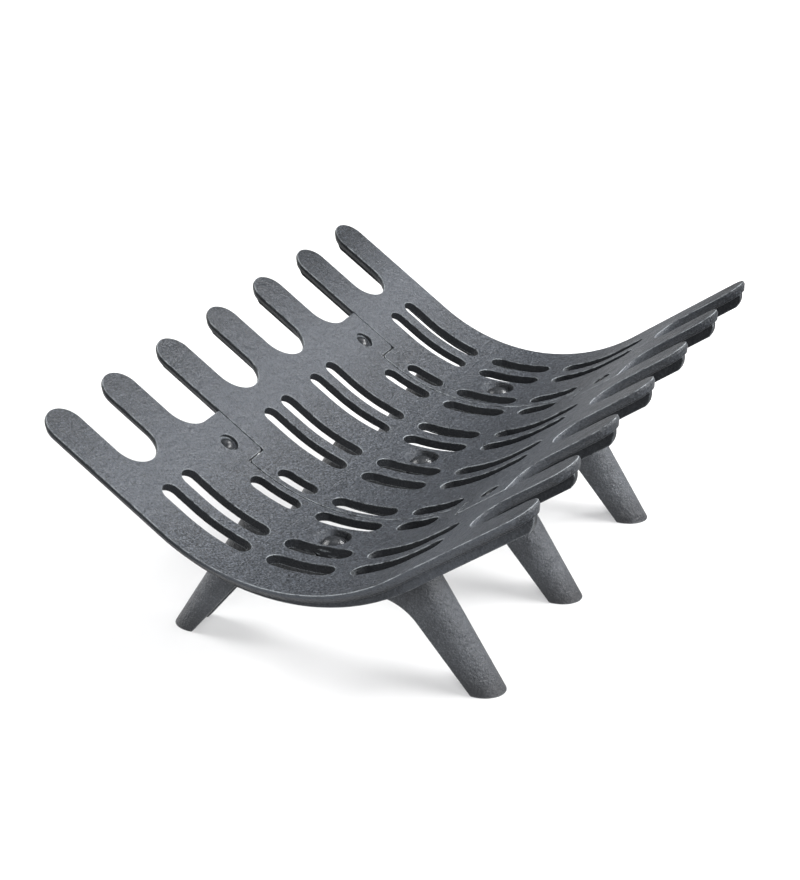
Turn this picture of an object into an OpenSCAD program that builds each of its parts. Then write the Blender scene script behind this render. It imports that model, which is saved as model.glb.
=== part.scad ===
// Log grate: three slotted cast plates form a cradle on three arched leg pairs.
// X runs along the row of fingers, Y from front to back, Z up from the floor.
// The cradle is one bent sheet, so its shapes are placed by the distance s walked
// over the log face from its lowest line, and by their depth below that face.

/* [Cradle] */
// Radius of the curved bottom, on the face that carries the logs
cradle_r = 137; // [125:1:150]
// Slope of the straight arms
arm_angle = 35.25; // [31:0.25:38]
// Length of the straight arms up to the finger tips
arm_len = 107.4; // [100:0.2:120]
// Height of the lowest line of the log face above the floor
cradle_z = 87; // [84:0.5:96]
// Thickness of the cast plates
plate_t = 6.6; // [5.6:0.2:7.6]
// How far the cast edges draw in towards the underside
edge_draft = 3; // [1:0.5:4]
// Height of the upright part of the cast edges
edge_face = 2.4; // [1.6:0.2:3.2]

/* [Fingers] */
// Width of one finger
finger_w = 30; // [28:0.5:32]
// Distance between the inner fingers
pitch_inner = 69.3; // [67.5:0.1:74]
// Distance from the outermost fingers to their neighbours
pitch_outer = 66.4; // [65:0.1:72]
// Distance from the lowest line to the bottom of the gaps between fingers
root_s = 126; // [120:1:132]

/* [Ribs] */
// Width of the rib below each finger
rib_w = 5.6; // [4:0.2:7]
// Depth of the ribs' lower edge below the log face
rib_depth = 14.2; // [12.2:0.2:16]
// Length of finger tip beyond the end of its rib
rib_short = 5; // [3.5:0.5:14]
// Rounding of the ribs' slanting ends
rib_end_r = 14; // [11:0.5:20]
// Play of the ribs in the grooves of the leg pairs
groove_play = 1; // [0.5:0.1:1.5]

/* [Slots] */
// Width of the slots
slot_w = 14.3; // [11:0.1:15]
// Width of the strut between the two slots of a pair
strut_w = 10.3; // [9:0.1:11.5]
// Distance from the lowest line to the ends of the bottom slots
slot_low = 24; // [20:0.5:26]
// Distance from the lowest line to the start of the arm slots
slot_start = 36.5; // [34:0.5:40]
// Distance from the lowest line to the upper end of the long arm slots
slot_long = 107.5; // [96:0.5:110]
// Distance from the lowest line to the upper end of a short slot below its plate's tab
slot_below_tab = 75.5; // [64:0.5:78]
// Distance from the lowest line to the upper end of the other short slots
slot_beside_tab = 67; // [60:0.5:72]

/* [Seams and tabs] */
// Gap between neighbouring plates
seam_gap = 1; // [0.6:0.1:2]
// Distance from the lowest line to the lower edge of the tabs
tab_s = 86; // [84:0.5:90]
// Gap under the lower edge of a tab
tab_gap = 1; // [0.6:0.1:2]
// Rounding of the corners where tab and plate meet
seam_corner_r = 3.5; // [2:0.5:5]
// Distance from the lowest line to the joint screws
joint_s = 104; // [101:0.5:108]
// Thickness of the lug that carries a tab
lug_t = 5; // [4:0.5:6]
// Width of the lug along the arm
lug_w = 22; // [18:1:26]
// Play between a tab and its lug
lug_play = 0.3; // [0.2:0.1:0.6]

/* [Leg pairs] */
// Width of a leg
leg_w = 28; // [25:0.5:30]
// Wall of the hollow-backed legs
leg_wall = 5.5; // [4:0.5:7]
// Distance from the middle plane to the outer edge of a foot
foot_out = 122.5; // [118:0.5:128]
// Distance from the middle plane to the inner edge of a foot
foot_in = 103.5; // [98:0.5:106]
// Lean of a leg's outer edge from upright
leg_lean = 32; // [30:0.5:34]
// Lean of a leg's inner edge from upright
arch_lean = 40; // [38:0.5:42]
// Height of the underside of the arch above the floor
arch_z = 59; // [55:0.5:61]
// Rounding of the arch towards the legs
arch_r = 40; // [30:1:48]
// Depth of the solid crown below the log face
crown_depth = 21.5; // [20:0.5:24]
// Half length of the solid block around the bolt
crown_block = 16; // [13:0.5:20]
// Play between the leg pairs and the curved underside of the plates
seat_play = 0.4; // [0.3:0.1:0.8]

/* [Leg bolts] */
// Thread diameter of the leg bolts
bolt_d = 8; // [6:0.5:9]
// Diameter of a leg bolt's domed head
bolt_head_d = 17; // [15:0.5:18]
// Height of a leg bolt's domed head
bolt_head_h = 4.8; // [3:0.2:6]
// Length of the square neck below the head
bolt_neck = 4; // [3:0.5:5]
// Diameter of the bowl around the head, at the log face
bowl_d = 24; // [21:0.5:26]
// Diameter of the bowl at its floor
bowl_floor_d = 18.4; // [18.2:0.2:20]
// Depth of the bowl
bowl_depth = 5; // [4:0.2:6]
// Diameter of the boss below the bowl
boss_d = 28; // [25:0.5:29]
// How far the boss stands below the ribs
boss_proud = 0.6; // [0.2:0.1:0.9]
// Width of a leg nut across its flats
leg_nut_flats = 13; // [12:0.5:14]
// Height of a leg nut
leg_nut_h = 6.5; // [5:0.5:8]
// Diameter of a leg washer
leg_washer_d = 17; // [15:0.5:20]
// Thickness of a leg washer
leg_washer_t = 1.6; // [1:0.1:2]

/* [Joint screws] */
// Thread diameter of the joint screws
joint_d = 6; // [5:0.5:7]
// Diameter of a joint screw's head
joint_head_d = 11; // [9.5:0.5:13]
// Height of a joint screw's head
joint_head_h = 2.8; // [2:0.2:4]
// Diameter of the recess in the tab
joint_recess_d = 14; // [13.5:0.5:17]
// Depth of the recess in the tab
joint_recess = 2.8; // [2:0.2:3.4]
// Width of a joint nut across its flats
joint_nut_flats = 10; // [9:0.5:11]
// Height of a joint nut
joint_nut_h = 5; // [4:0.5:6]
// Diameter of a joint washer
joint_washer_d = 12.5; // [11:0.5:15]
// Thickness of a joint washer
joint_washer_t = 1.2; // [0.8:0.1:1.6]

/* [Fits] */
// Play around screws and bolts in their holes
hole_play = 0.4; // [0.3:0.1:0.6]
// Play between a thread and its nut
thread_play = 0.1; // [0.06:0.02:0.16]
// Length of thread past the nuts
thread_past = 2; // [1:0.5:4]

/* [Hidden] */

cast_color = [0.27, 0.29, 0.30];
steel_color = [0.17, 0.18, 0.19];
round_fn = 64;
arc_fn = 240;

// How far cuts run past the faces that they open
over = 2;

// How far a round corner or root reaches over the edges that it joins
corner_bite = 0.1;

// Length to a hundredth, so that shapes placed one by one meet exactly
function to_hundredth(v) = round(v * 100) / 100;

arc_s = to_hundredth(cradle_r * arm_angle * PI / 180);
tip_s = arc_s + arm_len;
blank_s = tip_s - finger_w / 2;

// How steeply the round ends of the ribs meet the ribs' lower edges
rib_corner = 20;
rib_end_depth = to_hundredth(rib_depth - rib_end_r * cos(rib_corner));
rib_end_s = to_hundredth(tip_s - rib_short - sqrt(pow(rib_end_r, 2) - pow(plate_t - rib_end_depth, 2)));

gap_inner = pitch_inner - finger_w;
gap_outer = pitch_outer - finger_w;
seam_x = 1.5 * pitch_inner;
leg_x = 2 * pitch_inner;
outer_x = leg_x + pitch_outer;
outer_gap_x = leg_x + pitch_outer / 2;
edge_x = outer_x + finger_w / 2;
slot_x = (strut_w + slot_w) / 2;

boss_depth = rib_depth + boss_proud;
cut_depth = boss_depth + over;
lug_depth = plate_t + lug_play + lug_t;
leg_seat_depth = cradle_z - arch_z;

// ---- placing on the cradle ----

// Slope of the log face at the distance s
function bend(s) = max(-arm_angle, min(arm_angle, s / arc_s * arm_angle));

// Straight part of the way to the distance s
function straight(s) = s - bend(s) / arm_angle * arc_s;

// Place [y, z] of the log face at the distance s, from the axis of its curve
function face(s) =
    [straight(s) * cos(bend(s)) + cradle_r * sin(bend(s)), straight(s) * sin(bend(s)) - cradle_r * cos(bend(s))];

// How far the face at s lies from the face at m, along the slope at m
function along(s, m) = (face(s) - face(m)) * [cos(bend(m)), sin(bend(m))];

// Puts the children at x and at the distance s, with Z out of the log face
module at(x, s) {
    translate([0, 0, cradle_z + cradle_r])
        rotate([bend(s), 0, 0])
            translate([x, straight(s), -cradle_r])
                children();
}

// Rectangular section across the sheet: from x0 to x1, and from depth d0 to d1
function block(x0, x1, d0, d1) = [[x0, d0], [x1, d0], [x1, d1], [x0, d1]];

// Sweeps a section, given as points [x, depth], over the log face from s0 to s1
module sweep(section, s0, s1) {
    a0 = max(s0, -arc_s) / arc_s * arm_angle;
    a1 = min(s1, arc_s) / arc_s * arm_angle;
    if (a1 > a0)
        translate([0, 0, cradle_z + cradle_r])
            rotate([0, 90, 0])
                rotate([0, 0, a0])
                    rotate_extrude(angle = a1 - a0, $fn = arc_fn)
                        polygon([for (p = section) [cradle_r + p[1], p[0]]]);
    if (s1 > arc_s) arm_sweep(section, max(s0, arc_s), s1);
    if (s0 < -arc_s) arm_sweep(section, s0, min(s1, -arc_s));
}

// The part of a sweep that lies on a straight arm
module arm_sweep(section, s0, s1) {
    at(0, (s0 + s1) / 2)
        rotate([90, 0, 0])
            linear_extrude(height = s1 - s0, center = true)
                polygon([for (p = section) [p[0], -p[1]]]);
}

// A round boss or cut square to the log face, between two depths
module peg(x, s, d, d0, d1) {
    at(x, s)
        translate([0, 0, -d1])
            cylinder(d = d, h = d1 - d0, $fn = round_fn);
}

// Half turn about the middle of the grate, which maps it onto itself
module half_turn() {
    rotate([0, 0, 180]) children();
}

// ---- cuts in the plates ----

// A slot with round ends between the distances s0 and s1, cut square to the face at its middle
module slot(x, s0, s1) {
    middle = (s0 + s1) / 2;
    end = slot_w / 2;
    y0 = to_hundredth(along(s0, middle) + end);
    y1 = to_hundredth(along(s1, middle) - end);
    at(x, middle)
        linear_extrude(height = 4 * plate_t, center = true) {
            translate([-end, y0]) square([slot_w, y1 - y0]);
            for (y = [y0, y1])
                translate([0, y]) circle(d = slot_w, $fn = round_fn);
        }
}

// The three rows of slot pairs in a gap that no seam runs through
module slot_pairs(gap_x) {
    for (x = [gap_x - slot_x, gap_x + slot_x]) {
        slot(x, -slot_low, slot_low);
        slot(x, slot_start, slot_long);
        slot(x, -slot_long, -slot_start);
    }
}

// A plate's three slots along a seam, with its tab at the back
module seam_slots(x) {
    slot(x, -slot_low, slot_low);
    slot(x, slot_start, slot_below_tab);
    slot(x, -slot_beside_tab, -slot_start);
}

// The drafted gap between two fingers, at the back for side = 1, at the front for side = -1
module finger_gap(x, gap, side) {
    half = gap / 2;
    wide = half + edge_draft;
    root = root_s + half;
    far = tip_s + over;
    section = [
        [x - half, -over], [x + half, -over], [x + half, edge_face], [x + wide, plate_t],
        [x + wide, cut_depth], [x - wide, cut_depth], [x - wide, plate_t], [x - half, edge_face],
    ];
    sweep(section, side > 0 ? root : -far, side > 0 ? far : -root);
    at(x, side * root) {
        translate([0, 0, -edge_face])
            cylinder(r = half, h = edge_face + over, $fn = round_fn);
        translate([0, 0, -plate_t])
            cylinder(r1 = wide, r2 = half, h = plate_t - edge_face, $fn = round_fn);
        translate([0, 0, -cut_depth])
            cylinder(r = wide, h = cut_depth - plate_t, $fn = round_fn);
    }
}

// Rounds a plate's corner at x and s, whose material lies to the left and up the back
module corner_cut(x, s) {
    inset = seam_corner_r - corner_bite;
    at(x, s)
        translate([0, 0, -cut_depth])
            linear_extrude(height = cut_depth + over)
                difference() {
                    translate([-inset, -over]) square([inset + over, inset + over]);
                    translate([-inset, inset]) circle(r = seam_corner_r, $fn = round_fn);
                }
}

// Cuts a blank to the stepped seam right of the finger edge at x: its tab stays at the back
module seam_cut(x) {
    seam = x + gap_inner / 2;
    tab_end = x + gap_inner - seam_gap;
    beyond = x + gap_inner + over;
    notch_s = tab_s - tab_gap;
    drafted_edge = [
        [x, -over], [x, edge_face], [x - edge_draft, plate_t],
        [x - edge_draft, cut_depth], [beyond, cut_depth], [beyond, -over],
    ];
    sweep(block(seam - seam_gap / 2, beyond, -over, cut_depth), -tip_s, tab_s);
    sweep(drafted_edge, -tip_s, -notch_s);
    sweep(block(seam, beyond, -over, cut_depth), root_s + corner_bite, tip_s);
    corner_cut(tab_end, tab_s);
    corner_cut(seam - seam_gap / 2, -notch_s);
    peg(seam, joint_s, joint_recess_d, -over, joint_recess);
    peg(seam, joint_s, joint_d + 2 * hole_play, -over, cut_depth);
}

// ---- what the plates carry underneath ----

// The drafted round tips of a finger, front and back
module finger_tips(x) {
    r = finger_w / 2;
    for (side = [-1, 1])
        at(x, side * blank_s) {
            translate([0, 0, -edge_face])
                cylinder(r = r, h = edge_face, $fn = round_fn);
            translate([0, 0, -plate_t])
                cylinder(r1 = r - edge_draft, r2 = r, h = plate_t - edge_face, $fn = round_fn);
        }
}

// The rib below a line of fingers
module rib(x) {
    inside = plate_t / 2;
    sweep(block(x - rib_w / 2, x + rib_w / 2, inside, rib_depth), -rib_end_s, rib_end_s);
    for (side = [-1, 1])
        at(x, side * rib_end_s)
            rotate([90, 0, 90])
                linear_extrude(height = rib_w, center = true)
                    intersection() {
                        translate([0, -rib_end_depth]) circle(r = rib_end_r, $fn = round_fn);
                        translate([min(0, side * rib_end_r), -rib_depth])
                            square([rib_end_r, rib_depth - inside]);
                    }
}

// The lug at the front that carries the next plate's tab, right of the finger edge at x
module lug(x) {
    seam = x + gap_inner / 2;
    far = seam + lug_w / 2;
    near = x - (finger_w - rib_w) / 2;
    s0 = -joint_s - lug_w / 2;
    s1 = -joint_s + lug_w / 2;
    difference() {
        union() {
            sweep(block(near, far, plate_t + lug_play, lug_depth), s0, s1);
            sweep(block(near, x, plate_t / 2, lug_depth), s0, s1);
        }
        peg(seam, -joint_s, joint_d + 2 * hole_play, 0, lug_depth + over);
    }
}

// The bowl for a leg bolt's head and the square hole for its neck
module bowl_cut(x) {
    widen = (bowl_d - bowl_floor_d) / bowl_depth * over;
    hole = bolt_d + 2 * hole_play;
    at(x, 0) {
        translate([0, 0, -bowl_depth])
            cylinder(d1 = bowl_floor_d, d2 = bowl_d + widen, h = bowl_depth + over, $fn = round_fn);
        translate([-hole / 2, -hole / 2, -cut_depth])
            cube([hole, hole, cut_depth]);
    }
}

// ---- plates ----

// The end plate on the left, with two lines of fingers
module end_plate() {
    tab_end = -leg_x + finger_w / 2 + gap_inner - seam_gap;
    finger_edge = -leg_x + finger_w / 2;
    blank = [
        [-edge_x, 0], [tab_end, 0], [tab_end, plate_t],
        [-edge_x + edge_draft, plate_t], [-edge_x, edge_face],
    ];
    difference() {
        union() {
            difference() {
                sweep(blank, -blank_s, blank_s);
                for (side = [-1, 1]) {
                    finger_gap(-outer_gap_x, gap_outer, side);
                    finger_gap(-seam_x, gap_inner, side);
                }
                seam_cut(finger_edge);
                slot_pairs(-outer_gap_x);
                seam_slots(-seam_x - slot_x);
            }
            for (x = [-outer_x, -leg_x]) {
                finger_tips(x);
                rib(x);
            }
            lug(finger_edge);
            peg(-leg_x, 0, boss_d, plate_t / 2, boss_depth);
        }
        bowl_cut(-leg_x);
    }
}

module left_grate_plate() {
    color(cast_color) end_plate();
}

module centre_grate_plate() {
    finger_edge = pitch_inner + finger_w / 2;
    tab_end = finger_edge + gap_inner - seam_gap;
    color(cast_color)
        difference() {
            union() {
                difference() {
                    sweep(block(-tab_end, tab_end, 0, plate_t), -blank_s, blank_s);
                    for (x = [-seam_x, -pitch_inner / 2, pitch_inner / 2, seam_x], side = [-1, 1])
                        finger_gap(x, gap_inner, side);
                    seam_cut(finger_edge);
                    half_turn() seam_cut(finger_edge);
                    slot_pairs(-pitch_inner / 2);
                    slot_pairs(pitch_inner / 2);
                    seam_slots(seam_x - slot_x);
                    half_turn() seam_slots(seam_x - slot_x);
                }
                for (x = [-pitch_inner, 0, pitch_inner]) {
                    finger_tips(x);
                    rib(x);
                }
                lug(finger_edge);
                half_turn() lug(finger_edge);
                peg(0, 0, boss_d, plate_t / 2, boss_depth);
            }
            bowl_cut(0);
        }
}

module right_grate_plate() {
    color(cast_color) half_turn() end_plate();
}

// ---- leg pairs ----

// The back leg's round-fronted bar, of width w, filled towards the middle plane
module leg_bar(w) {
    axis_y = -leg_w / 2;
    reach = foot_out + leg_w;
    rise = cradle_z + leg_w;
    translate([0, foot_out, 0])
        rotate([leg_lean, 0, 0]) {
            translate([0, axis_y, -leg_w])
                cylinder(d = w, h = rise + leg_w, $fn = round_fn);
            translate([-w / 2, axis_y - reach, -reach])
                cube([w, reach, 2 * reach]);
        }
}

// Both legs' bars, joined at the middle plane and cut level above the floor height z
module leg_bars(w, z) {
    reach = 2 * foot_out;
    for (m = [0, 1])
        mirror([0, m, 0])
            intersection() {
                leg_bar(w);
                translate([-leg_w, 0, z])
                    cube([2 * leg_w, reach, cradle_z + reach]);
            }
}

// The opening below the arch, with rounded upper corners
module arch_cut() {
    corner = foot_in - arch_z * tan(arch_lean);
    tangent = arch_r * tan((90 - arch_lean) / 2);
    low = foot_in + over * tan(arch_lean);
    knee = [corner + tangent * sin(arch_lean), arch_z - tangent * cos(arch_lean)];
    crown = [corner - tangent, arch_z];
    rotate([90, 0, 90])
        linear_extrude(height = 2 * leg_w, center = true)
            polygon([[-low, -over], [low, -over], knee, crown, [-crown[0], crown[1]], [-knee[0], knee[1]]]);
    for (side = [-1, 1])
        translate([0, side * crown[0], arch_z - arch_r])
            rotate([0, 90, 0])
                cylinder(r = arch_r, h = 2 * leg_w, center = true, $fn = arc_fn);
}

// The hollow at the back of the legs, which leaves their walls, the crown and the bolt block
module leg_hollow() {
    difference() {
        leg_bars(leg_w - 2 * leg_wall, -over);
        translate([0, 0, cradle_z + cradle_r])
            rotate([0, 90, 0])
                cylinder(r = cradle_r + crown_depth, h = 2 * leg_w, center = true, $fn = arc_fn);
        translate([-leg_w, -crown_block, 0])
            cube([2 * leg_w, 2 * crown_block, cradle_z]);
    }
}

module leg_pair(x) {
    groove = rib_w / 2 + groove_play;
    color(cast_color)
        difference() {
            translate([x, 0, 0])
                difference() {
                    leg_bars(leg_w, 0);
                    arch_cut();
                    leg_hollow();
                    sweep(block(-leg_w, leg_w, -cradle_z, plate_t + seat_play), -blank_s, blank_s);
                    sweep(block(-groove, groove, 0, rib_depth + groove_play), -blank_s, blank_s);
                    peg(0, 0, boss_d + 2 * groove_play, 0, boss_depth);
                    peg(0, 0, bolt_d + 2 * hole_play, 0, leg_seat_depth + over);
                }
        }
}

// ---- fasteners ----

// A coach bolt: domed head on the bowl's floor, square neck, shank through the crown
module leg_bolt(x) {
    rim = bolt_head_h / 5;
    cap = bolt_head_h - rim;
    dome_r = (cap * cap + bolt_head_d * bolt_head_d / 4) / (2 * cap);
    end_depth = leg_seat_depth + leg_washer_t + leg_nut_h + thread_past;
    color(steel_color)
        at(x, 0) {
            intersection() {
                translate([0, 0, -bowl_depth])
                    cylinder(d = bolt_head_d, h = bolt_head_h, $fn = round_fn);
                translate([0, 0, bolt_head_h - bowl_depth - dome_r])
                    sphere(r = dome_r, $fn = round_fn);
            }
            translate([-bolt_d / 2, -bolt_d / 2, -bowl_depth - bolt_neck])
                cube([bolt_d, bolt_d, bolt_neck]);
            translate([0, 0, -end_depth])
                cylinder(d = bolt_d, h = end_depth - bowl_depth, $fn = round_fn);
        }
}

// A low round-headed screw through tab and lug
module joint_screw(x, s) {
    dome_r = (joint_head_h * joint_head_h + joint_head_d * joint_head_d / 4) / (2 * joint_head_h);
    end_depth = lug_depth + joint_washer_t + joint_nut_h + thread_past;
    color(steel_color)
        at(x, s) {
            intersection() {
                translate([0, 0, -joint_recess])
                    cylinder(d = joint_head_d, h = joint_head_h, $fn = round_fn);
                translate([0, 0, joint_head_h - joint_recess - dome_r])
                    sphere(r = dome_r, $fn = round_fn);
            }
            translate([0, 0, -end_depth])
                cylinder(d = joint_d, h = end_depth - joint_recess, $fn = round_fn);
        }
}

// A flat washer at a depth below the log face
module washer(x, s, d, hole, thick, depth) {
    color(steel_color)
        difference() {
            peg(x, s, d, depth, depth + thick);
            peg(x, s, hole, depth - 1, depth + thick + 1);
        }
}

// A hexagon nut at a depth below the log face
module nut(x, s, flats, hole, high, depth) {
    color(steel_color)
        difference() {
            at(x, s)
                translate([0, 0, -depth - high])
                    cylinder(d = flats / cos(30), h = high, $fn = 6);
            peg(x, s, hole, depth - 1, depth + high + 1);
        }
}

module leg_washer(x) {
    washer(x, 0, leg_washer_d, bolt_d + 2 * hole_play, leg_washer_t, leg_seat_depth);
}

module leg_nut(x) {
    nut(x, 0, leg_nut_flats, bolt_d + 2 * thread_play, leg_nut_h, leg_seat_depth + leg_washer_t);
}

module joint_washer(x, s) {
    washer(x, s, joint_washer_d, joint_d + 2 * hole_play, joint_washer_t, lug_depth);
}

module joint_nut(x, s) {
    nut(x, s, joint_nut_flats, joint_d + 2 * thread_play, joint_nut_h, lug_depth + joint_washer_t);
}

left_grate_plate();
centre_grate_plate();
right_grate_plate();
leg_pair(-leg_x);  // left_leg_pair
leg_pair(0);  // centre_leg_pair
leg_pair(leg_x);  // right_leg_pair
leg_bolt(-leg_x);  // left_leg_bolt
leg_bolt(0);  // centre_leg_bolt
leg_bolt(leg_x);  // right_leg_bolt
leg_washer(-leg_x);  // left_leg_washer
leg_washer(0);  // centre_leg_washer
leg_washer(leg_x);  // right_leg_washer
leg_nut(-leg_x);  // left_leg_nut
leg_nut(0);  // centre_leg_nut
leg_nut(leg_x);  // right_leg_nut
joint_screw(-seam_x, joint_s);  // back_left_screw
joint_screw(seam_x, joint_s);  // back_right_screw
joint_screw(-seam_x, -joint_s);  // front_left_screw
joint_screw(seam_x, -joint_s);  // front_right_screw
joint_washer(-seam_x, joint_s);  // back_left_washer
joint_washer(seam_x, joint_s);  // back_right_washer
joint_washer(-seam_x, -joint_s);  // front_left_washer
joint_washer(seam_x, -joint_s);  // front_right_washer
joint_nut(-seam_x, joint_s);  // back_left_nut
joint_nut(seam_x, joint_s);  // back_right_nut
joint_nut(-seam_x, -joint_s);  // front_left_nut
joint_nut(seam_x, -joint_s);  // front_right_nut
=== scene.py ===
"""A cast log grate on a plain pale floor.

Three finger plates, bolted side by side, stand on three pairs of legs. Every piece comes from the
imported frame: this script rounds the edges, gives each piece its paint and sets up the studio.
"""

import math
from dataclasses import dataclass

import bpy
from mathutils import Matrix, Vector

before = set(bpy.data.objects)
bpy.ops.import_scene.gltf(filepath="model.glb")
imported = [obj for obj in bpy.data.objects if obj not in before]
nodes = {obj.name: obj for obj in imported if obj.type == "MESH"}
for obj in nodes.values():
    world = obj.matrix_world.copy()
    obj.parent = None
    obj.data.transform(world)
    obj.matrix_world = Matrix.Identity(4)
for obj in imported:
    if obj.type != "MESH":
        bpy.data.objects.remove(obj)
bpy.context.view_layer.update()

MM = 0.001

# ---- the view: where the photograph was taken from, in metres and degrees ----
CAMERA_AT = (-1.2222, -0.5630, 0.6993)
CAMERA_HEADING = 25.385  # of the line of sight, from +X towards +Y
CAMERA_DOWN = 24.005  # of the line of sight, below the horizon
CAMERA_ROLL = -0.567
LENS_MM = 85.71
SENSOR_MM = 36.0  # for the 880 pixels of the frame's height

# ---- the studio: wide soft lights round the grate, in metres and watts ----
LIGHTS = {  # heading, elevation and distance as seen from the grate, watts, width and height
    "main": (-72.0, 33.0, 2.4, 108.0, 2.2, 0.9),
    "glint": (-21.8, 39.9, 3.0, 56.0, 0.8, 0.8),
    "front": (-152.0, 27.0, 2.4, 50.0, 1.8, 0.8),
    "back": (88.0, 16.0, 2.4, 38.0, 2.8, 0.9),
    "side": (90.0, 46.0, 2.4, 44.0, 1.6, 1.0),
    "top": (-5.0, 68.0, 2.4, 8.0, 1.4, 1.4),
}
SKY_STRENGTH = 0.12
BOUNCE_STRENGTH = 0.70  # of the light that comes up from the floor
HORIZON = 0.05  # the sky turns into the bounce between this height and as far below
FLOOR_SIZE = 40.0
FLOOR_CLOUDS = 0.6
FLOOR_TONES = (0.485, 0.505)
FLOOR_GLOW = 0.29
FLOOR_GLOW_TONE = (0.98, 0.985, 1.0)
FLOOR_ROUGHNESS = 0.9
FLOOR_SHINE = 0.1

# ---- the rounding of the edges ----
SHARP_ANGLE = 28.0  # edges that turn by more than this are rounded
CAST_ROUNDING = 0.5 * MM
FASTENER_ROUNDING = 0.2 * MM
ROUNDING_STEPS = 3
WELD_GAP = 0.001 * MM
FACE_WEIGHT = 80  # how much the larger faces decide the shading

# ---- the shape of the plates, as the frame has it ----
OUTER_SIDE = 220 * MM  # from the middle of the grate to its outer side faces
CRADLE_RADIUS = 137 * MM
CRADLE_CENTRE = 224 * MM  # above the floor
PLATE_THICKNESS = 6.6 * MM
ARM_SINE = math.sin(math.radians(35.25))

# ---- the paint ----
MIDDLE = (0.3, 0.7)  # the part of a soft noise's range that holds most of it
CLOUD_SIZE = 90 * MM
PATCH_SIZE = 11 * MM
LUMP_GRAINS = 4.5  # size of the casting's lumps, in grains of its sand
LUMP_HEIGHT = 1.6
SPECK_GRAINS = 0.8
# the light specks are painted glints of the sand's grains
GLINT_SPECKS, GLINT_SPECK_TINT = (0.52, 0.64), 2.4
DARK_DUST, DARK_DUST_TINT = (0.47, 0.36), 0.35
NICK_SIZE = 7 * MM
NICKS = (0.36, 0.58)
RIM_NICKS = (0.1, 0.8, 0.1, 0.65)  # from these shares of a nick to these shares of a worn rim with its painted highlight line
EDGE_MASK_WIDTH = 1.2 * MM
EDGE_MASK_TURN = (0.99, 0.86)  # cosine of the turn from a face to its rounded edge
EDGE_MASK_SAMPLES = 6
SHINE = 0.28
DULL_SHINE = 0.08

# Fades over the plates, each from where its share is 0 to where it is 1: lengths in metres
# along X, or on both sides of the lowest line, and leans as parts of a face's direction.
WALL_LEAN = (0.80, 0.50)
RIM_LEAN, RIM_SPREAD = 0.6, (0.38, 0.18)
RIBS = (PLATE_THICKNESS + 0.2 * MM, PLATE_THICKNESS + 0.8 * MM)
SHADOW_LINE_SIZE = 0.8 * MM  # of the painted shadow line between a plate's edge and the rib below it
HEEL, HEEL_END = (68 * MM, 96 * MM), (160 * MM, 118 * MM)  # the foot of the arms
BOWL = (80 * MM, 60 * MM)
CALM_ARMS = (60 * MM, 100 * MM)
OUTER_FACE = (2 * MM - OUTER_SIDE, 1 * MM - OUTER_SIDE)
INNER_FINGERS = (14 * MM - OUTER_SIDE, 15 * MM - OUTER_SIDE)
FRONT_FINGERS = (-112 * MM, -105 * MM)
BACK_ARMS = (30 * MM, 75 * MM)
TIPS, FAR_END = (110 * MM, 160 * MM), (40 * MM, 140 * MM)
BOLT_HOLLOW = (20 * MM, 18 * MM)
BOLT_RIM, BOLT_ROW = (21 * MM, 18 * MM), (210 * MM, 200 * MM)
FRONT_RIMS = (60 * MM, 10 * MM)
LIT_LEAN = (0.2, 0.7)
AWAY_LEAN = (0.5, 0.1)
LIT_HOLLOW_LEAN = (-0.2, -0.6)
UNLIT_HOLLOW_LEAN = (0.05, 0.4)

# Tints of the plates: the share at most, and how many times the light or the dark tone
HEEL_HIGHLIGHT = (0.85, 1.75)
BOWL_TINT = (0.3, 1.75)
LIT_WALL_TINT = (0.6, 3.2)
OUTER_FACE_LIGHT = (0.8, 2.1)
LIT_HOLLOW_TINT = (0.5, 3.6)
FAR_TIPS_SHADE = (0.5, 0.4)
SHADE_TONE = 0.25  # of the dark tone, for the painted shade
WALL_SHADE = 0.75
RIB_SHADE = 0.8  # of the walls' painted shade
SHADOW_LINE_SHADE = 0.8
FAR_TIPS_DULL = 0.7
ARM_CALM = 0.5
CALM_SPECKS = 0.3  # of the dust and painted glints elsewhere
BACK_RIMS = 0.5  # of the wear and painted highlight on the front rims

# The legs, each fade from where its share is 0 to where it is 1
LEG_TOP = (58 * MM, 74 * MM)
ARCH = (92 * MM, 70 * MM)
UNDER_PLATES_SHADE = (0.75, 0.3)
FOOT = (24 * MM, 4 * MM)
FOOT_PATCHES = (0.2, 0.6, 0.5, 1.0)  # from this range of the patches to this range of shares
FOOT_TONE = (0.027, 0.028, 0.031)

# ---- the steel of washers and nuts ----
STAIN_SIZE = 3 * MM
STAINS = (0.35, 0.7)
TURNING_SIZE = 0.4 * MM
TURNING_HEIGHT = 0.02 * MM
STEEL_DARK = (0.13, 0.13, 0.135)
STEEL_LIGHT = (0.30, 0.30, 0.31)
STEEL_METAL = 0.8
STEEL_GLOSS = (0.38, 0.6)


# ---- camera, light and floor ----


def make_camera():
    data = bpy.data.cameras.new("camera")
    data.sensor_fit = "VERTICAL"
    data.sensor_height = SENSOR_MM
    data.sensor_width = SENSOR_MM
    data.lens = LENS_MM
    data.clip_end = 4 * FLOOR_SIZE
    camera = bpy.data.objects.new("camera", data)
    bpy.context.scene.collection.objects.link(camera)
    level = Matrix.Rotation(math.radians(CAMERA_HEADING - 90), 4, "Z")
    tilt = Matrix.Rotation(math.radians(90 - CAMERA_DOWN), 4, "X")
    roll = Matrix.Rotation(math.radians(CAMERA_ROLL), 4, "Z")
    camera.matrix_world = Matrix.Translation(CAMERA_AT) @ level @ tilt @ roll
    bpy.context.scene.camera = camera


def towards(heading, elevation):
    """Direction with that heading, from +X towards +Y, and that height above the horizon."""
    h, e = math.radians(heading), math.radians(elevation)
    return Vector((math.cos(h) * math.cos(e), math.sin(h) * math.cos(e), math.sin(e)))


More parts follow.
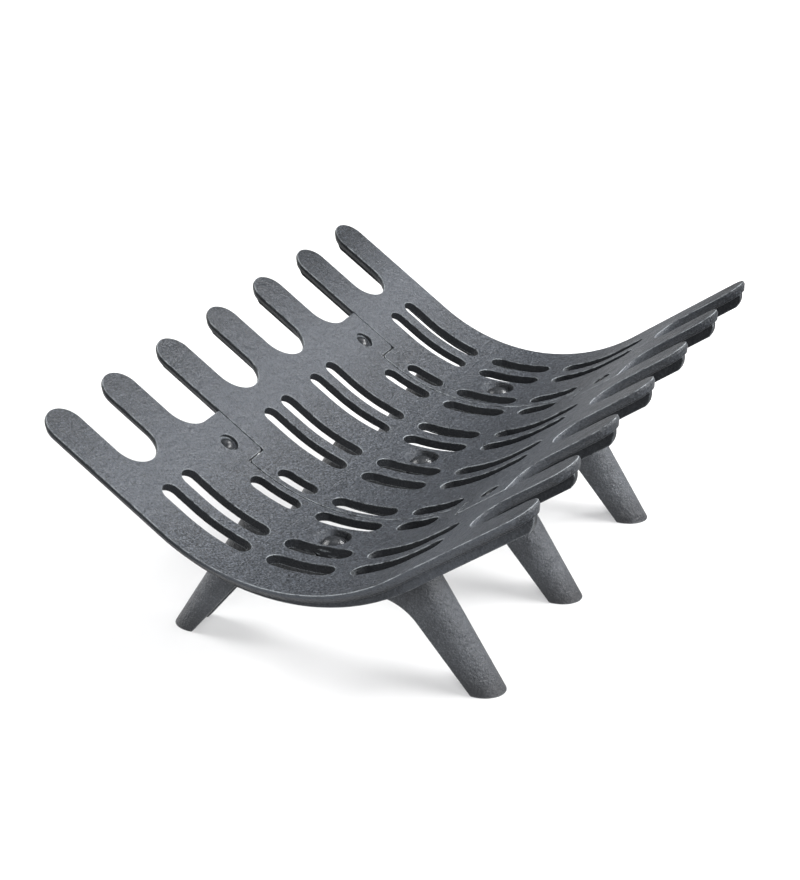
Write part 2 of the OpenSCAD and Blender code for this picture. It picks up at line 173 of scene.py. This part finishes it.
def make_light(name, heading, elevation, distance, watts, width, height):
    data = bpy.data.lights.new(name, "AREA")
    data.shape = "ELLIPSE"
    data.size, data.size_y = width, height
    data.energy = watts
    light = bpy.data.objects.new(name, data)
    bpy.context.scene.collection.objects.link(light)
    direction = towards(heading, elevation)
    light.location = direction * distance
    light.rotation_euler = direction.to_track_quat("Z", "Y").to_euler()


def make_sky():
    """White light from all round, stronger from below, where it stands in for the floor's."""
    world = bpy.data.worlds.new("studio")
    bpy.context.scene.world = world
    world.use_nodes = True
    tree = world.node_tree
    direction = tree.nodes.new("ShaderNodeTexCoord").outputs["Generated"]
    height = tree.nodes.new("ShaderNodeSeparateXYZ")
    strength = tree.nodes.new("ShaderNodeMapRange")
    settings = {
        "From Min": -HORIZON,
        "From Max": HORIZON,
        "To Min": BOUNCE_STRENGTH,
        "To Max": SKY_STRENGTH,
    }
    for name, value in settings.items():
        strength.inputs[name].default_value = value
    tree.links.new(direction, height.inputs[0])
    tree.links.new(height.outputs["Z"], strength.inputs["Value"])
    tree.links.new(strength.outputs["Result"], tree.nodes["Background"].inputs["Strength"])
    tree.nodes["Background"].inputs["Color"].default_value = colour((1.0, 1.0, 1.0))


def make_floor(material):
    half = FLOOR_SIZE / 2
    mesh = bpy.data.meshes.new("floor")
    corners = [(-half, -half, 0), (half, -half, 0), (half, half, 0), (-half, half, 0)]
    mesh.from_pydata(corners, [], [(0, 1, 2, 3)])
    floor = bpy.data.objects.new("floor", mesh)
    bpy.context.scene.collection.objects.link(floor)
    mesh.materials.append(material)
    floor.visible_diffuse = False  # the sky stands in for its light from below, which is fainter
    floor.visible_glossy = False


# ---- materials ----


def colour(tone, factor=1.0):
    return (*(factor * part for part in tone), 1.0)


class Shader:
    """A material's node tree, with short ways to add and join nodes."""

    def __init__(self, name):
        self.material = bpy.data.materials.new(name)
        self.material.use_nodes = True
        self.tree = self.material.node_tree
        self.surface = self.tree.nodes["Principled BSDF"]
        where = self.tree.nodes.new("ShaderNodeTexCoord")
        self.place, self.facing = where.outputs["Object"], where.outputs["Normal"]

    def node(self, kind, inputs=(), **settings):
        made = self.tree.nodes.new(kind)
        for key, value in settings.items():
            setattr(made, key, value)
        for key, value in dict(inputs).items():
            self.feed(made.inputs[key], value)
        return made

    def feed(self, socket, value):
        if isinstance(value, bpy.types.NodeSocket):
            self.tree.links.new(value, socket)
        else:
            socket.default_value = value

    def noise(self, size, detail=3.0, roughness=0.55):
        """Soft noise with grains about size metres wide, around 0.5."""
        inputs = {"Vector": self.place, "Scale": 1 / size, "Detail": detail}
        inputs["Roughness"] = roughness
        return self.node("ShaderNodeTexNoise", inputs).outputs["Fac"]

    def ramp(self, value, low, high, to_low=0.0, to_high=1.0):
        inputs = {"Value": value, "From Min": low, "From Max": high}
        inputs.update({"To Min": to_low, "To Max": to_high})
        return self.node("ShaderNodeMapRange", inputs).outputs["Result"]

    def math(self, operation, *values):
        return self.node("ShaderNodeMath", enumerate(values), operation=operation).outputs[0]

    def times(self, first, *others):
        for other in others:
            first = self.math("MULTIPLY", first, other)
        return first

    def minus(self, a, b):
        return self.math("SUBTRACT", a, b)

    def larger(self, a, b):
        return self.math("MAXIMUM", a, b)

    def absolute(self, value):
        return self.math("ABSOLUTE", value)

    def mix(self, share, a, b):
        """Colour b over colour a by share, in the Mix node's colour sockets."""
        made = self.node("ShaderNodeMix", data_type="RGBA")
        self.feed(made.inputs[0], share)
        self.feed(made.inputs[6], a)
        self.feed(made.inputs[7], b)
        return made.outputs[2]

    def split(self, vector):
        return self.node("ShaderNodeSeparateXYZ", {0: vector}).outputs

    def edges(self, radius):
        """1 beside edges sharper than the rounding radius, 0 on flat faces."""
        rounded = self.node("ShaderNodeBevel", {"Radius": radius}, samples=EDGE_MASK_SAMPLES)
        true = self.node("ShaderNodeNewGeometry").outputs["True Normal"]
        both = {0: rounded.outputs["Normal"], 1: true}
        turn = self.node("ShaderNodeVectorMath", both, operation="DOT_PRODUCT")
        return self.ramp(turn.outputs["Value"], *EDGE_MASK_TURN)

    def bump(self, height, distance, below=None):
        inputs = {"Height": height, "Distance": distance, "Strength": 1.0}
        if below is not None:
            inputs["Normal"] = below
        return self.node("ShaderNodeBump", inputs).outputs["Normal"]

    def set(self, **inputs):
        for key, value in inputs.items():
            self.feed(self.surface.inputs[key.replace("_", " ")], value)


@dataclass
class Look:
    """Tones of a painted casting, its sand, how thick its dust and painted glints are, and how
    glossy its paint is.
    """

    dark: tuple
    light: tuple
    worn_and_lit: tuple
    grain: float
    grain_height: float
    speckled: float
    gloss: tuple


class CastShader(Shader):
    """Satin heat-proof paint over a sand casting, rubbed bright here and there on its edges, partly
    as painted highlight lines.
    """

    def __init__(self, name, look):
        super().__init__(name)
        self.look = look
        self.x, self.y, self.z = self.split(self.place)
        self.across = self.absolute(self.y)
        self.patches = self.noise(PATCH_SIZE, detail=4.0)
        clouds = self.ramp(self.noise(CLOUD_SIZE), *MIDDLE, 0.0, 0.5)
        tone = self.math("ADD", clouds, self.ramp(self.patches, *MIDDLE, 0.0, 0.5))
        self.paint = self.mix(tone, colour(look.dark), colour(look.light))

    def coat(self, share, tone, factor=1.0):
        """Turns the paint by that share into that many times a tone."""
        self.paint = self.mix(share, self.paint, colour(tone, factor))

    def tint(self, mask, tone, share, factor):
        """The same where a mask shows it."""
        self.coat(self.times(mask, share), tone, factor)

    def dust_and_glints(self, share):
        """Light and dark specks between the grains of sand; the light ones are painted glints of
        the grains.
        """
        specks = self.noise(SPECK_GRAINS * self.look.grain, detail=2.0)
        self.coat(self.ramp(specks, *GLINT_SPECKS, 0.0, share), self.look.light, GLINT_SPECK_TINT)
        self.coat(self.ramp(specks, *DARK_DUST, 0.0, share), self.look.dark, DARK_DUST_TINT)

    def finish(self, shine=SHINE, rims=None):
        """Adds the worn edges, and worn rims where that mask shows them, both partly painted
        highlight lines, and the sand's relief.
        """
        nicks = self.ramp(self.noise(NICK_SIZE, detail=4.0), *NICKS)
        worn_and_lit_edges = self.times(self.edges(EDGE_MASK_WIDTH), nicks)
        if rims is not None:
            worn_and_lit_edges = self.larger(worn_and_lit_edges, self.times(rims, self.ramp(nicks, *RIM_NICKS)))
        sand = self.noise(self.look.grain, roughness=0.6)
        lumps = self.noise(LUMP_GRAINS * self.look.grain, detail=2.0)
        lumps = self.bump(lumps, LUMP_HEIGHT * self.look.grain_height)
        self.set(
            Base_Color=self.mix(worn_and_lit_edges, self.paint, colour(self.look.worn_and_lit)),
            Roughness=self.ramp(self.patches, *MIDDLE, *self.look.gloss),
            Specular_IOR_Level=shine,
            Normal=self.bump(sand, self.look.grain_height, lumps),
        )
        return self.material


class PlateShader(CastShader):
    """The castings' paint, with masks that follow the plates' log face.

    That face is a round bowl between two straight arms, so its slope grows with the distance
    from the lowest line up to the arms' slope.
    """

    def __init__(self, name, look):
        super().__init__(name, look)
        self.facing_x, self.facing_y, facing_z = self.split(self.facing)
        sine = self.math("DIVIDE", self.y, CRADLE_RADIUS)
        sine = self.larger(self.math("MINIMUM", sine, ARM_SINE), -ARM_SINE)
        cosine = self.math("COSINE", self.math("ARCSINE", sine))
        lean = self.minus(self.times(facing_z, cosine), self.times(self.facing_y, sine))
        self.wall = self.ramp(self.absolute(lean), *WALL_LEAN)
        self.rim = self.ramp(self.absolute(self.minus(lean, RIM_LEAN)), *RIM_SPREAD)
        drop = self.times(self.minus(CRADLE_CENTRE, self.z), cosine)
        from_centre = self.math("ADD", self.times(self.y, sine), drop)
        depth = self.minus(from_centre, CRADLE_RADIUS)
        self.ribs = self.ramp(depth, *RIBS)
        # the painted shadow line along the lower edge of a plate's wall
        off_shadow_line = self.absolute(self.minus(depth, PLATE_THICKNESS - SHADOW_LINE_SIZE / 2))
        shadow_line = self.ramp(off_shadow_line, SHADOW_LINE_SIZE, SHADOW_LINE_SIZE / 2)
        self.shadow_line = self.times(self.wall, shadow_line)
        self.hollow = self.times(self.wall, self.ramp(self.across, *BOLT_HOLLOW))

    def shaded_walls(self):
        """Painted shade: 1 on the walls of slots and gaps that face away from the main light; less
        on the ribs below the plates.
        """
        away = self.ramp(self.facing_x, *AWAY_LEAN)
        behind_front = self.ramp(self.y, *FRONT_FINGERS)
        inner = self.ramp(self.x, *INNER_FINGERS)
        reached = self.larger(inner, self.ramp(self.y, *BACK_ARMS))
        walls = self.times(self.wall, away, behind_front, reached)
        return self.larger(walls, self.times(self.ribs, inner, RIB_SHADE))

    def worn_and_lit_rims(self):
        """The log face's worn rims with painted highlight lines, except round the leg bolts, and
        less on the back arms.
        """
        row = self.ramp(self.absolute(self.x), *BOLT_ROW)
        beside_bolts = self.times(self.ramp(self.across, *BOLT_RIM), row)
        front = self.ramp(self.y, *FRONT_RIMS, BACK_RIMS, 1.0)
        return self.times(self.rim, self.minus(1.0, beside_bolts), front)


def plate_paint(name, look):
    s = PlateShader(name, look)
    # painted highlight: the foot of the arms is painted lighter
    heel_highlight = s.times(s.ramp(s.across, *HEEL), s.ramp(s.across, *HEEL_END))
    s.tint(heel_highlight, look.light, *HEEL_HIGHLIGHT)
    bowl = s.times(s.ramp(s.across, *BOWL), s.minus(1.0, s.wall))
    s.tint(bowl, look.light, *BOWL_TINT)
    lit_wall = s.times(s.wall, s.ramp(s.facing_x, *LIT_LEAN))
    s.tint(lit_wall, look.light, *LIT_WALL_TINT)
    # painted light: the walls of the outer side face are painted lighter
    lit_outer_face = s.times(s.wall, s.ramp(s.x, *OUTER_FACE))
    s.tint(lit_outer_face, look.light, *OUTER_FACE_LIGHT)
    # painted shade: the tips at the far end are painted darker
    far_tips = s.times(s.ramp(s.across, *TIPS), s.ramp(s.x, *FAR_END))
    s.tint(far_tips, look.dark, *FAR_TIPS_SHADE)
    hollow_share, hollow_tone = LIT_HOLLOW_TINT
    lit_hollow = s.times(s.hollow, s.ramp(s.facing_y, *LIT_HOLLOW_LEAN), hollow_share)
    s.coat(lit_hollow, look.light, hollow_tone)

    calm = s.larger(s.wall, s.times(s.ramp(s.across, *CALM_ARMS), ARM_CALM))
    s.dust_and_glints(s.ramp(calm, 0.0, 1.0, look.speckled, CALM_SPECKS * look.speckled))

    # painted shade: walls that face away from the light, bolt hollows that face away from it and
    # the shadow line are darkened
    unlit_hollow = s.times(s.hollow, s.ramp(s.facing_y, *UNLIT_HOLLOW_LEAN))
    painted_shade = s.larger(s.times(s.shaded_walls(), WALL_SHADE), unlit_hollow)
    painted_shade = s.times(painted_shade, s.minus(1.0, lit_hollow))
    painted_shade = s.larger(painted_shade, s.times(s.shadow_line, SHADOW_LINE_SHADE))
    s.coat(painted_shade, look.dark, SHADE_TONE)
    matt = s.larger(painted_shade, s.times(far_tips, FAR_TIPS_DULL))
    return s.finish(s.ramp(matt, 0.0, 1.0, SHINE, DULL_SHINE), s.worn_and_lit_rims())


def leg_paint(name, look):
    s = CastShader(name, look)
    s.dust_and_glints(look.speckled)
    # painted shade: the tops of the legs under the plates are painted darker
    shade_under_plates = s.times(s.ramp(s.z, *LEG_TOP), s.ramp(s.across, *ARCH))
    s.tint(shade_under_plates, look.dark, *UNDER_PLATES_SHADE)
    near_floor = s.times(s.ramp(s.z, *FOOT), s.ramp(s.patches, *FOOT_PATCHES))
    s.coat(near_floor, FOOT_TONE)
    return s.finish()


def bolt_paint(name, look):
    s = CastShader(name, look)
    s.dust_and_glints(look.speckled)
    return s.finish()


def steel(name):
    """Dull blackened steel, with faint turning marks and dark stains."""
    s = Shader(name)
    stains = s.noise(STAIN_SIZE, detail=4.0)
    turning = s.noise(TURNING_SIZE, detail=2.0)
    s.set(
        Base_Color=s.mix(s.ramp(stains, *STAINS), colour(STEEL_DARK), colour(STEEL_LIGHT)),
        Metallic=STEEL_METAL,
        Roughness=s.ramp(stains, *MIDDLE, *STEEL_GLOSS),
        Normal=s.bump(turning, TURNING_HEIGHT),
    )
    return s.material


def pale_floor(name):
    s = Shader(name)
    dark, light = (colour((tone, tone, tone)) for tone in FLOOR_TONES)
    s.set(
        Base_Color=s.mix(s.noise(FLOOR_CLOUDS), dark, light),
        Emission_Color=colour(FLOOR_GLOW_TONE),
        Emission_Strength=FLOOR_GLOW,
        Roughness=FLOOR_ROUGHNESS,
        Specular_IOR_Level=FLOOR_SHINE,
    )
    return s.material


# ---- rounding of the edges ----


def smooth_tree():
    """A node group that shades every face smoothly, for the rounding to build on."""
    tree = bpy.data.node_groups.new("all_smooth", "GeometryNodeTree")
    for way in ("INPUT", "OUTPUT"):
        tree.interface.new_socket("Geometry", in_out=way, socket_type="NodeSocketGeometry")
    last = tree.nodes.new("NodeGroupInput").outputs[0]
    for domain in ("FACE", "EDGE"):
        shade = tree.nodes.new("GeometryNodeSetShadeSmooth")
        shade.domain = domain
        tree.links.new(last, shade.inputs["Geometry"])
        last = shade.outputs["Geometry"]
    tree.links.new(last, tree.nodes.new("NodeGroupOutput").inputs[0])
    return tree


def round_edges(piece, width, all_smooth):
    """Joins the piece's faces, rounds its sharp edges and shades it by its larger faces."""
    piece.modifiers.new("smooth", "NODES").node_group = all_smooth
    weld = piece.modifiers.new("weld", "WELD")
    weld.merge_threshold = WELD_GAP
    bevel = piece.modifiers.new("rounding", "BEVEL")
    bevel.width = width
    bevel.segments = ROUNDING_STEPS
    bevel.limit_method = "ANGLE"
    bevel.angle_limit = math.radians(SHARP_ANGLE)
    bevel.use_clamp_overlap = False
    bevel.loop_slide = False
    normals = piece.modifiers.new("normals", "WEIGHTED_NORMAL")
    normals.weight = FACE_WEIGHT
    normals.keep_sharp = False


# ---- the grate ----

PLATE_LOOK = Look(
    dark=(0.020, 0.0225, 0.0265),
    light=(0.032, 0.0355, 0.0415),
    worn_and_lit=(0.36, 0.39, 0.41),
    grain=1.5 * MM,
    grain_height=1.0 * MM,
    speckled=1.0,
    gloss=(0.30, 0.44),
)
LEG_LOOK = Look(
    dark=(0.040, 0.043, 0.049),
    light=(0.066, 0.071, 0.079),
    worn_and_lit=(0.20, 0.21, 0.22),
    grain=1.6 * MM,
    grain_height=1.2 * MM,
    speckled=0.22,
    gloss=(0.34, 0.48),
)
BOLT_LOOK = Look(
    dark=(0.016, 0.017, 0.019),
    light=(0.025, 0.027, 0.030),
    worn_and_lit=(0.14, 0.15, 0.16),
    grain=1.0 * MM,
    grain_height=0.15 * MM,
    speckled=0.3,
    gloss=(0.16, 0.28),
)

PLATES = plate_paint("painted_casting", PLATE_LOOK)
LEGS = leg_paint("leg_casting", LEG_LOOK)
BOLTS = bolt_paint("painted_bolt", BOLT_LOOK)
STEEL = steel("plain_steel")

FINISHES = {  # material and rounding, by the last word of a node's name
    "plate": (PLATES, CAST_ROUNDING),
    "pair": (LEGS, CAST_ROUNDING),
    "bolt": (BOLTS, FASTENER_ROUNDING),
    "screw": (BOLTS, FASTENER_ROUNDING),
    "washer": (STEEL, FASTENER_ROUNDING),
    "nut": (STEEL, FASTENER_ROUNDING),
}


def dress_nodes():
    all_smooth = smooth_tree()
    for name, piece in nodes.items():
        material, rounding = FINISHES[name.split("_")[-1]]
        piece.material_slots[0].material = material
        round_edges(piece, rounding, all_smooth)


make_camera()
make_sky()
for light_name, setting in LIGHTS.items():
    make_light(light_name, *setting)
make_floor(pale_floor("pale_floor"))
dress_nodes()
bpy.context.scene.view_settings.view_transform = "Standard"
